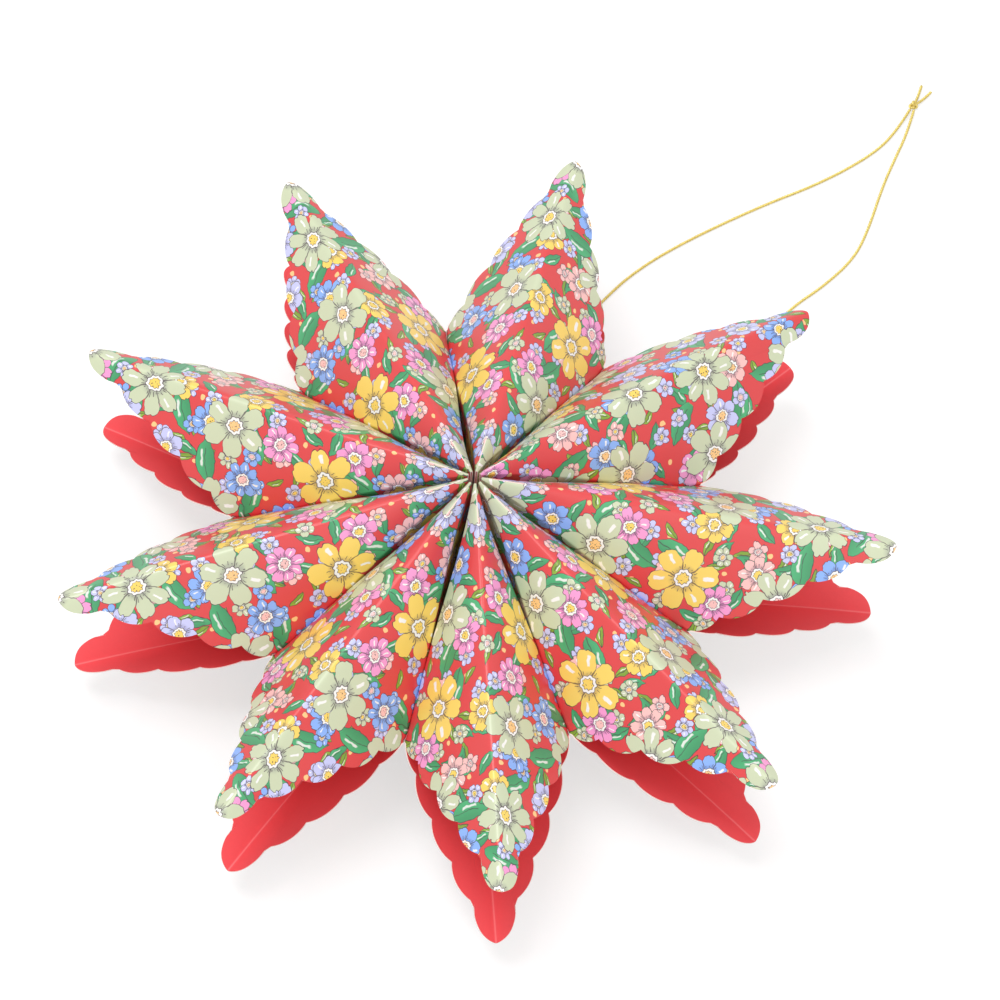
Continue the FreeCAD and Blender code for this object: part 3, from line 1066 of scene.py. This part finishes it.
@dataclass(frozen=True)
class PlainPaper:
    """Uncoated paper of one colour, with a faint fibre and a pale highlight painted along the
    crease.
    """

    name: str
    colour: Colour
    roughness: float = 0.62
    mottle: float = 0.06
    crease_wear: float = 0.0

    def build(self) -> Material:
        """Build the plain paper's material.

        Returns:
            The material.
        """
        material, graph = start_material(self.name)
        place = graph.out("ShaderNodeTexCoord", output="Object")
        fibre, cloud = graph.noise(place, 900.0, 4.0), graph.noise(place, 40.0, 2.0)
        paper = graph.blend(fibre * 0.4 + cloud * 0.6, self.colour,
                            darker(self.colour, 1 - 2 * self.mottle))
        # A pale line painted along the crease is a painted highlight, where light catches the
        # fold.
        if self.crease_wear:
            crease = graph.out("ShaderNodeAttribute", output="Fac",
                               attribute_name="mm_from_crease")
            pale = tuple(c + (1 - c) * self.crease_wear for c in self.colour)
            paper = graph.blend(graph.ramp(crease, 0.1, 0.7), pale, paper)
        graph.surface(paper, fibre, (0.15, 0.0001), {
            "Roughness": self.roughness, "Specular IOR Level": 0.35})
        return material


@dataclass(frozen=True)
class GoldThread:
    """Thread wound in gold foil, darker in fine random flecks."""

    name: str
    colour: Colour = linear(242, 219, 128)
    roughness: float = 0.34

    def build(self) -> Material:
        """Build the gold thread's material.

        Returns:
            The material.
        """
        material, graph = start_material(self.name)
        fleck = graph.noise(graph.out("ShaderNodeTexCoord", output="Object"), 2600.0, 2.0)
        colour = graph.blend(graph.ramp(fleck, 0.35, 0.65), darker(self.colour, 0.7),
                             self.colour)
        graph.surface(colour, fleck, (0.3, 0.00005), {
            "Metallic": 0.7, "Roughness": self.roughness})
        return material


@dataclass
class GoldCord:
    """The hanging cord: thin strands laid round each other, and a knot that closes its loop.

    The route, the tails and the knot's centre, radius and height are in millimetres.
    """

    finish: Material
    diameter: float = 1.1 * MM
    strand_radius: float = 0.29 * MM
    lay_radius: float = 0.27 * MM
    pitch: float = 3.4 * MM
    strands: int = 3
    step: float = 0.34 * MM
    knot_radius: float = 1.42
    knot_height: float = 0.62
    knot_points: int = 30
    knot_start: float = 0.35
    knot_lie_degrees: tuple[float, float, float] = (38, -14, 62)
    route: tuple[tuple[float, float, float], ...] = (
        (169.7, 204.6, -40.1), (163.2, 193.6, -41.2), (152.3, 183.3, -41.2),
        (133.7, 171.9, -41.2), (112.6, 162.4, -41.2), (90.0, 150.4, -41.2),
        (73.0, 140.0, -41.2), (61.5, 131.0, -41.2), (54.4, 123.7, -41.2),
        (48.4, 116.7, -41.2), (46.4, 117.0, -29.5), (45.1, 116.8, -17.5),
        (43.0, 112.4, -8.8), (42.1, 100.9, -8.2), (41.0, 89.3, -8.4), (40.5, 75.9, -7.7),
        (39.6, 62.6, 0.0), (46.5, 57.7, 0.0), (58.8, 62.8, -7.7), (71.3, 67.6, -8.4),
        (82.0, 72.4, -8.2), (92.5, 76.9, -8.8), (96.0, 80.3, -17.5), (95.8, 81.6, -29.5),
        (94.9, 83.4, -41.2), (100.2, 91.7, -41.2), (108.8, 104.8, -41.2),
        (121.5, 118.5, -41.2), (133.0, 127.0, -41.2), (145.2, 139.3, -41.2),
        (151.3, 152.5, -41.2), (157.4, 170.6, -41.2), (163.2, 183.9, -41.2),
        (168.0, 194.3, -41.2), (171.1, 204.1, -40.1),
    )
    knot_centre: tuple[float, float, float] = (171.0, 206.2, -39.9)
    tails: tuple[tuple[tuple[float, float, float], ...], ...] = (
        ((171.6, 207.2, -40.1), (173.2, 210.6, -41.1), (174.9, 216.0, -41.2)),
        ((172.0, 206.9, -40.1), (175.0, 209.3, -41.1), (178.3, 213.2, -41.2)),
    )

    def lay(self, graph: Graph, given: dict[str, Term]) -> Value:
        """Write the tree that lays strands round a line.

        Args:
            graph: The tree.
            given: The tree's inputs.

        Returns:
            The strands.
        """
        even = graph.out("GeometryNodeResampleCurve",
                         {"Curve": given["shape"], "Length": given["step"]}, mode="LENGTH")
        tangent = graph.out("GeometryNodeInputTangent")
        normal = graph.out("GeometryNodeInputNormal")
        run = graph.out("GeometryNodeSplineParameter", output="Length")
        place = graph.out("GeometryNodeInputPosition")
        ring = graph.out("GeometryNodeCurvePrimitiveCircle",
                         {"Resolution": 7, "Radius": given["strand_radius"]})
        together = graph.add("GeometryNodeJoinGeometry")
        for number in range(self.strands):
            angle = run / given["pitch"] * (2 * math.pi) + 2 * math.pi * number / self.strands
            aside = graph.vector("SCALE", graph.turn(normal, tangent, angle),
                                 given["lay_radius"])
            moved = graph.out("GeometryNodeSetPosition", {
                "Geometry": even, "Position": graph.vector("ADD", place, aside)})
            graph.feed(together.inputs[0], graph.out("GeometryNodeCurveToMesh", {
                "Curve": moved, "Profile Curve": ring, "Fill Caps": True}))
        return together.outputs[0]

    def line(self, routes: Sequence[Sequence[Sequence[float]]], name: str) -> Object:
        """Draw smooth lines along routes.

        Args:
            routes: The routes' points, in millimetres.
            name: The line's name.

        Returns:
            A curve object with one open spline for each route.
        """
        curve = bpy.data.curves.new(name, "CURVE")
        curve.dimensions = "3D"
        curve.resolution_u = 14
        for route in routes:
            spline = curve.splines.new("NURBS")
            spline.points.add(len(route) - 1)
            for point, place in zip(spline.points, route):
                point.co = (*(part * MM for part in place), 1.0)
            spline.order_u = 3
            spline.use_endpoint_u = True
        return new_object(name, curve)

    def laid(self, line: Object, name: str) -> Object:
        """Lay strands along a line.

        Args:
            line: The line, which is removed at the end.
            name: The piece's name.

        Returns:
            The strands as one mesh piece.
        """
        values = {"strand_radius": self.strand_radius, "lay_radius": self.lay_radius,
                  "pitch": self.pitch, "step": self.step, "finish": self.finish}
        run_tree(line, "lay_strands", self.lay, values)
        piece = baked(line, name)
        piece.data.materials.clear()
        piece.data.materials.append(self.finish)
        bpy.data.objects.remove(line)
        return piece

    def knot_route(self) -> list[tuple[float, float, float]]:
        """Draw the knot's own turns: one overhand loop, drawn tight.

        Returns:
            The turns' points, in millimetres.
        """
        lie = Euler([math.radians(angle) for angle in self.knot_lie_degrees]).to_matrix()
        points = []
        for step in range(self.knot_points):
            turn = 2 * math.pi * (step / self.knot_points) + self.knot_start
            place = Vector((self.knot_radius * (math.sin(turn) + 2 * math.sin(2 * turn)) / 3,
                            self.knot_radius * (math.cos(turn) - 2 * math.cos(2 * turn)) / 3,
                            -self.knot_height * math.sin(3 * turn)))
            points.append(tuple(lie @ place + Vector(self.knot_centre)))
        return points

    def build(self) -> None:
        line = self.line([self.route], "cord_line")
        bpy.context.view_layer.update()
        polyline = bpy.data.meshes.new_from_object(line)
        cord = self.laid(line, "gold_hanging_cord")
        knot_line = self.line([self.knot_route(), *self.tails], "knot_line")
        knot = self.laid(knot_line, "gold_cord_knot")
        for piece, node in ((cord, "hanging_cord"), (knot, "cord_knot")):
            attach(piece, "root")
            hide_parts(node)
        LOG.info("knot: %d faces", len(knot.data.polygons))


@dataclass
class PaperStar:
    """The nine folded points and what they are made of.

    Attributes:
        sizes: The star's sizes.
        other_sheet: The one point whose sheet has its own cut of the print and droops.
        other_print_shift: How far its print is shifted, as shares of the print's span.
        usual_curl: How far the front and the back tips curl out.
        other_curl: The same for the drooping point.
        cord_between: The two points whose glued walls are punched for the cord.
        uneven_degrees: How far each point is turned from its regular direction.
    """

    sizes: PaperSizes = field(default_factory=PaperSizes)
    other_sheet: int = 8
    other_print_shift: tuple[float, float] = (0.36, 0.21)
    usual_curl: tuple[float, float] = (0.0, 4.5 * MM)
    other_curl: tuple[float, float] = (-8.0 * MM, -2.0 * MM)
    cord_between: tuple[int, int] = (8, 9)
    uneven_degrees: tuple[float, ...] = (1.5, 1.0, 0.4, -0.5, -1.6, -1.7, -0.9, 0.0, 0.0)

    def build(self) -> None:
        """Build every point and let it take the place of its solid."""
        turns = [math.radians(value) for value in self.uneven_degrees]
        printed = PrintedPaper("floral_print_on_coated_paper").build()
        # The inside paper gets a painted highlight along its crease.
        inside = PlainPaper("plain_red_inside", linear(255, 88, 94), crease_wear=0.1).build()
        edge = PlainPaper("pale_cut_edge", linear(252, 226, 220), mottle=0.02).build()
        for number in range(1, self.sizes.point_count + 1):
            punched = {self.cord_between[0]: 1, self.cord_between[1]: -1}.get(number, 0)
            uneven = (turns[number % len(turns)], turns[number - 1], turns[number - 2])
            other = number == self.other_sheet
            shift = self.other_print_shift if other else (0.0, 0.0)
            curl = self.other_curl if other else self.usual_curl
            point = FoldedPoint(number, self.sizes, [printed, inside, edge], punched,
                                curl_out=curl, unevenness=uneven, print_shift=shift).build()
            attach(point, "root")
            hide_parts(f"star_point_{number}")
            LOG.info("%s: %d faces", point.name, len(point.data.polygons))


@dataclass
class Studio:
    """The floor, the lamps and the camera."""

    floor_level: float = -41.9 * MM
    view_distance: float = 1.6
    tilt: float = math.radians(28.8)
    roll: float = math.radians(2.03)
    picture: float = 1000.0
    sensor: float = 36.0
    middle: tuple[float, float] = (470.9, 535.5)
    pixels_per_mm: float = 2.896
    floor_bounce: float = 0.8
    floor_seen: float = 0.5
    floor_glow: float = 0.58
    room_light: float = 0.72

    def floor(self) -> None:
        """Lay a pale floor that looks white and keeps soft shadows."""
        material, graph = start_material("pale_floor")
        seen = graph.out("ShaderNodeLightPath", output="Is Camera Ray")
        lit = graph.out("ShaderNodeBsdfDiffuse", {
            0: graph.blend(seen, (self.floor_bounce,) * 3, (self.floor_seen,) * 3)})
        glow = graph.out("ShaderNodeEmission", {
            0: graph.blend(seen, (0.0,) * 3, (self.floor_glow,) * 3), 1: 1.0})
        both = graph.out("ShaderNodeAddShader", {0: lit, 1: glow})
        graph.add("ShaderNodeOutputMaterial", {0: both})
        mesh = bpy.data.meshes.new("floor")
        half, level = 6.0, self.floor_level
        corners = [(-half, -half, level), (half, -half, level), (half, half, level),
                   (-half, half, level)]
        mesh.from_pydata(corners, [], [(0, 1, 2, 3)])
        mesh.materials.append(material)
        new_object("floor", mesh)

    def lamp(self, name: str, place: tuple[float, float, float], size: float,
             power: float) -> None:
        """Hang a square soft lamp that points at the star.

        Args:
            name: The lamp's name.
            place: Where it hangs.
            size: The length of its sides.
            power: Its power, in watts.
        """
        light = bpy.data.lights.new(name, "AREA")
        light.shape = "SQUARE"
        light.size = size
        light.energy = power
        lamp = new_object(name, light)
        lamp.location = place
        lamp.rotation_euler = Vector(place).to_track_quat("Z", "Y").to_euler()

    def world(self) -> None:
        """Surround the star with even light, seen as white."""
        world = bpy.data.worlds.new("soft_room")
        world.use_nodes = True
        graph = Graph(world.node_tree)
        rays = graph.add("ShaderNodeLightPath").outputs
        seen = graph.math("MAXIMUM", rays["Is Camera Ray"], graph.math(
            "MAXIMUM", rays["Is Glossy Ray"], rays["Is Transmission Ray"]))
        strength = seen * (1.0 - self.room_light) + self.room_light
        back = graph.out("ShaderNodeBackground", {0: (1.0,) * 3, 1: strength})
        graph.add("ShaderNodeOutputWorld", {0: back})
        bpy.context.scene.world = world

    def camera(self) -> None:
        """Set the camera where the photograph was taken from."""
        cos_tilt, sin_tilt = math.cos(self.tilt), math.sin(self.tilt)
        cos_roll, sin_roll = math.cos(self.roll), math.sin(self.roll)
        lean = Matrix(((1, 0, 0), (0, cos_tilt, sin_tilt), (0, -sin_tilt, cos_tilt)))
        swing = Matrix(((cos_roll, 0, sin_roll), (0, 1, 0), (-sin_roll, 0, cos_roll)))
        axes = (swing @ lean).transposed()
        data = bpy.data.cameras.new("camera")
        data.sensor_fit = "HORIZONTAL"
        data.sensor_width = self.sensor
        data.lens = self.pixels_per_mm / MM * self.view_distance * self.sensor / self.picture
        data.shift_x = (self.picture / 2 - self.middle[0]) / self.picture
        data.shift_y = (self.middle[1] - self.picture / 2) / self.picture
        data.clip_end = 30
        camera = new_object("camera", data)
        camera.matrix_world = Matrix.Translation(
            axes @ Vector((0, 0, self.view_distance))) @ axes.to_4x4()
        bpy.context.scene.camera = camera

    def build(self) -> None:
        """Build the whole set."""
        self.floor()
        self.world()
        self.lamp("key_lamp", (-0.55, 0.25, 2.4), size=1.1, power=26)
        self.lamp("fill_lamp", (0.9, -1.7, 1.9), size=1.6, power=9)
        self.camera()
        bpy.context.scene.view_settings.view_transform = "Standard"
        LOG.info("studio: camera %.2f m away", self.view_distance)


def main() -> None:
    """Load the solid model, build the studio, and dress the model."""
    logging.basicConfig(level=logging.INFO, format="%(name)s: %(message)s")
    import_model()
    Studio().build()
    PaperStar().build()
    GoldCord(GoldThread("gold_foil_thread").build()).build()


if __name__ == "__main__":
    main()
